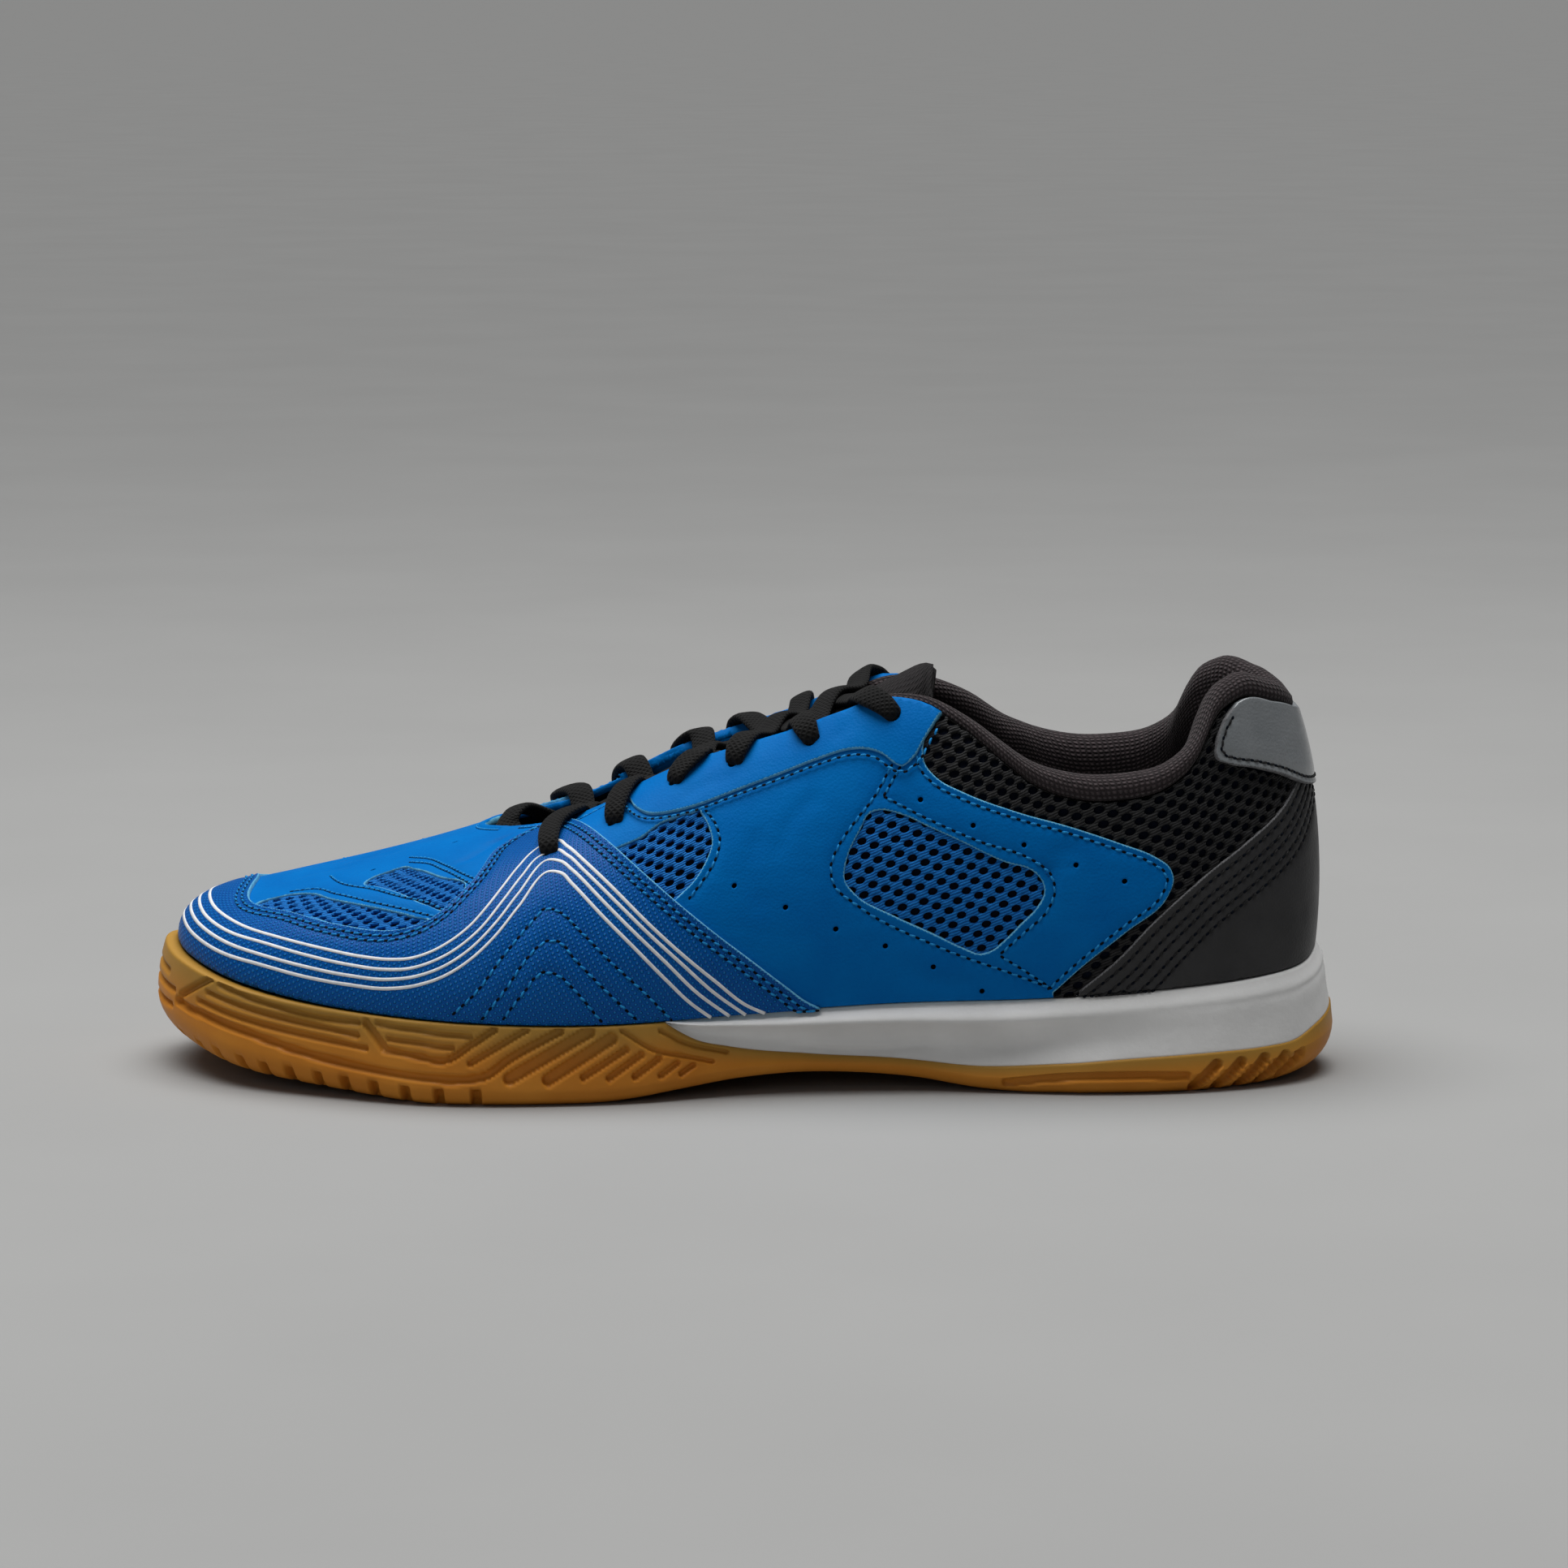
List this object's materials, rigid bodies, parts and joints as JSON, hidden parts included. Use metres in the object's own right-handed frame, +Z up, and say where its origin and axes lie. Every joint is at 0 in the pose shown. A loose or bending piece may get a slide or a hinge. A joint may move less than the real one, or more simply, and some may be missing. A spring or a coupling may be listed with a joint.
{
  "type": "table tennis shoe",
  "caption": "Low left table tennis shoe: hollow blue upper open at collar and throat, toe guard, flat black lace, white foam wedge and gum rubber cup sole.",
  "frame": {"origin": "on the floor, under the middle of the shoe's length and of the sole's width", "axes": "-X towards the toe, -Y towards the outer (lateral) side of the foot, +Z up"},
  "size_m": [0.29, 0.1044, 0.1011],
  "materials": {
    "gum_rubber": "matte amber gum rubber",
    "white_foam": "moulded off-white foam",
    "grey_felt": "grey sock lining",
    "blue_leather": "smooth blue synthetic leather",
    "blue_textured": "blue synthetic leather with embossed dots",
    "black_leather": "black synthetic leather",
    "grey_leather": "glossy dark grey patch",
    "black_knit": "black knitted lining over padding",
    "black_cord": "black flat woven lace"
  },
  "bodies": {
    "root": {"outsole": "gum_rubber", "midsole": "white_foam", "insole": "grey_felt", "upper": "blue_leather", "toe_guard": "blue_textured", "quarter_panel_lateral": "blue_leather", "quarter_panel_medial": "blue_leather", "eyestay_lateral": "blue_leather", "eyestay_medial": "blue_leather", "heel_counter": "black_leather", "heel_patch": "grey_leather", "collar": "black_knit", "tongue": "black_knit", "lace_cross_1": "black_cord", "lace_cross_2": "black_cord", "lace_cross_3": "black_cord", "lace_cross_4": "black_cord", "lace_cross_5": "black_cord"}
  },
  "joints": []
}
